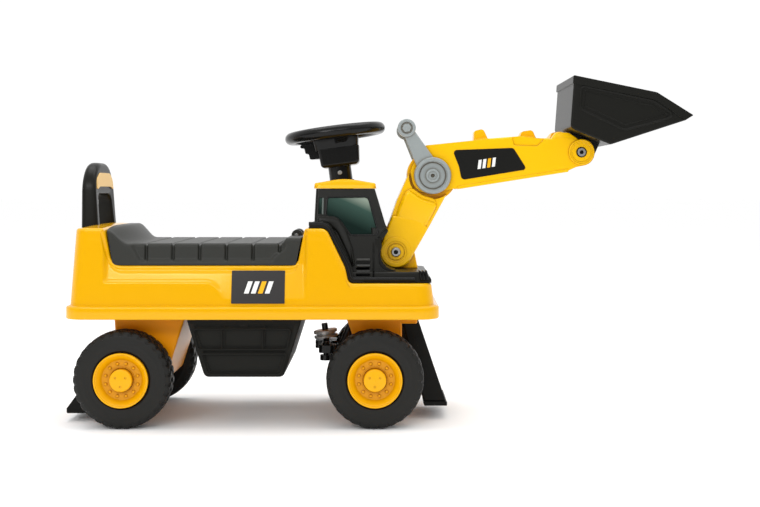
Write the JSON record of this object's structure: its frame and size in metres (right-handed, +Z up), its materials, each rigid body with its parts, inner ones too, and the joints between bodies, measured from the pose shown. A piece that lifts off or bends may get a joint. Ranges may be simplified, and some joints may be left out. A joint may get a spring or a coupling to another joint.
{
  "type": "ride on digger",
  "caption": "Foot-powered ride-on toy digger: moulded body on wheels, lift-up seat over a storage bin, steering wheel linked to the front wheels, hinged arm with levers and a bucket.",
  "frame": {"origin": "on the floor under the middle of the whole toy's length and width, arm at rest", "axes": "+X forward towards the bucket, +Y to the driver's left, +Z up"},
  "size_m": [0.9746, 0.274, 0.5389],
  "materials": {
    "yellow_plastic": "glossy moulded yellow",
    "black_plastic": "satin moulded black",
    "tyre_plastic": "hard matt black tread",
    "grey_plastic": "satin mid-grey",
    "red_plastic": "glossy red",
    "window_glaze": "glossy dark green print",
    "label_film": "satin printed film",
    "steel": "plated",
    "black_steel": "black coated bar",
    "cell_wrap": "wrapped cell"
  },
  "bodies": {
    "chassis": {"body_shell": "yellow_plastic", "backrest": "black_plastic", "storage_bin": "black_plastic", "floor_panel": "yellow_plastic", "rear_axle_housing": "yellow_plastic", "front_axle_housing": "yellow_plastic", "front_support": "black_plastic", "rear_support": "black_plastic", "cab_body": "black_plastic", "cab_windows": "window_glaze", "cab_roof": "yellow_plastic", "column_bushes": "black_plastic", "arm_base": "yellow_plastic", "boom_pivot_bolt": "steel", "seat_hinge_pin": "steel", "body_labels": "label_film", "body_screws": "steel", "kingpins": "steel", "rear_axle": "steel", "rear_push_nuts": "steel"},
    "seat": {"seat_lid": "black_plastic"},
    "steering_column": {"steering_wheel": "black_plastic", "sound_module": "black_plastic", "battery_cells": "cell_wrap", "steering_sleeve": "black_plastic", "sleeve_screw": "steel", "steering_shaft": "black_steel", "steering_washer": "steel"},
    "horn": {"horn_button": "red_plastic"},
    "tie_rod": {"tie_rod": "black_plastic"},
    "knuckle_left": {"knuckle_left": "black_plastic", "stub_axle_left": "steel", "push_nut_left": "steel"},
    "knuckle_right": {"knuckle_right": "black_plastic", "stub_axle_right": "steel", "push_nut_right": "steel"},
    "boom": {"boom_shell_left": "yellow_plastic", "boom_shell_right": "yellow_plastic"},
    "stick": {"stick_shell_left": "yellow_plastic", "stick_shell_right": "yellow_plastic", "lever_left": "grey_plastic", "lever_right": "grey_plastic", "lever_grip": "grey_plastic", "lever_bolt": "steel", "elbow_bolt": "steel", "stick_labels": "label_film", "bucket_pin": "steel"},
    "bucket": {"bucket": "black_plastic"},
    "wheel_front_left": {"tyre_front_left": "tyre_plastic", "wheel_disc_front_left": "yellow_plastic", "hub_cap_front_left": "yellow_plastic"},
    "wheel_front_right": {"tyre_front_right": "tyre_plastic", "wheel_disc_front_right": "yellow_plastic", "hub_cap_front_right": "yellow_plastic"},
    "wheel_rear_left": {"tyre_rear_left": "tyre_plastic", "wheel_disc_rear_left": "yellow_plastic", "hub_cap_rear_left": "yellow_plastic"},
    "wheel_rear_right": {"tyre_rear_right": "tyre_plastic", "wheel_disc_rear_right": "yellow_plastic", "hub_cap_rear_right": "yellow_plastic"}
  },
  "joints": [
    {"name": "seat_lift", "type": "hinge", "parent": "chassis", "child": "seat", "pos_m": [-0.128, 0, 0.289], "axis": [0, 1, 0], "range_deg": [0, 65]},
    {"name": "steering_turn", "type": "hinge", "parent": "chassis", "child": "steering_column", "pos_m": [-0.0678, 0, 0.4524], "axis": [-0.1305, 0, 0.9914], "range_deg": [-30, 30]},
    {"name": "horn_press", "type": "slide", "parent": "steering_column", "child": "horn", "axis": [-0.1305, 0, 0.9914], "range_m": [-0.0025, 0], "stiffness_N_per_m": 600, "springref_m": 0.002},
    {"name": "tie_rod_slide", "type": "slide", "parent": "chassis", "child": "tie_rod", "axis": [0, 1, 0], "range_m": [-0.0289, 0.0289]},
    {"name": "knuckle_left_turn", "type": "hinge", "parent": "chassis", "child": "knuckle_left", "pos_m": [-0.003, 0.062, 0.0745], "axis": [0, 0, 1], "range_deg": [-22, 22]},
    {"name": "knuckle_right_turn", "type": "hinge", "parent": "chassis", "child": "knuckle_right", "pos_m": [-0.003, -0.062, 0.0745], "axis": [0, 0, 1], "range_deg": [-22, 22]},
    {"name": "wheel_front_left_spin", "type": "hinge", "parent": "knuckle_left", "child": "wheel_front_left", "pos_m": [-0.003, 0.1105, 0.0745], "axis": [0, 1, 0], "continuous": true},
    {"name": "wheel_front_right_spin", "type": "hinge", "parent": "knuckle_right", "child": "wheel_front_right", "pos_m": [-0.003, -0.1105, 0.0745], "axis": [0, 1, 0], "continuous": true},
    {"name": "wheel_rear_left_spin", "type": "hinge", "parent": "chassis", "child": "wheel_rear_left", "pos_m": [-0.385, 0.1105, 0.0745], "axis": [0, 1, 0], "continuous": true},
    {"name": "wheel_rear_right_spin", "type": "hinge", "parent": "chassis", "child": "wheel_rear_right", "pos_m": [-0.385, -0.1105, 0.0745], "axis": [0, 1, 0], "continuous": true},
    {"name": "boom_swing", "type": "hinge", "parent": "chassis", "child": "boom", "pos_m": [0.03, 0, 0.2627], "axis": [0, 1, 0], "range_deg": [0, 55]},
    {"name": "elbow_swing", "type": "hinge", "parent": "boom", "child": "stick", "pos_m": [0.08799, 0, 0.38373], "axis": [0, 1, 0], "range_deg": [-35, 0]},
    {"name": "bucket_tilt", "type": "hinge", "parent": "stick", "child": "bucket", "pos_m": [0.32487, 0, 0.42103], "axis": [0, -1, 0], "range_deg": [-75, 0]}
  ],
  "couplings": [
    {"joint": "tie_rod_slide", "follows": "steering_turn", "m_per_rad": -0.0549},
    {"joint": "knuckle_left_turn", "follows": "steering_turn", "ratio": 0.7307},
    {"joint": "knuckle_right_turn", "follows": "steering_turn", "ratio": 0.7307}
  ]
}
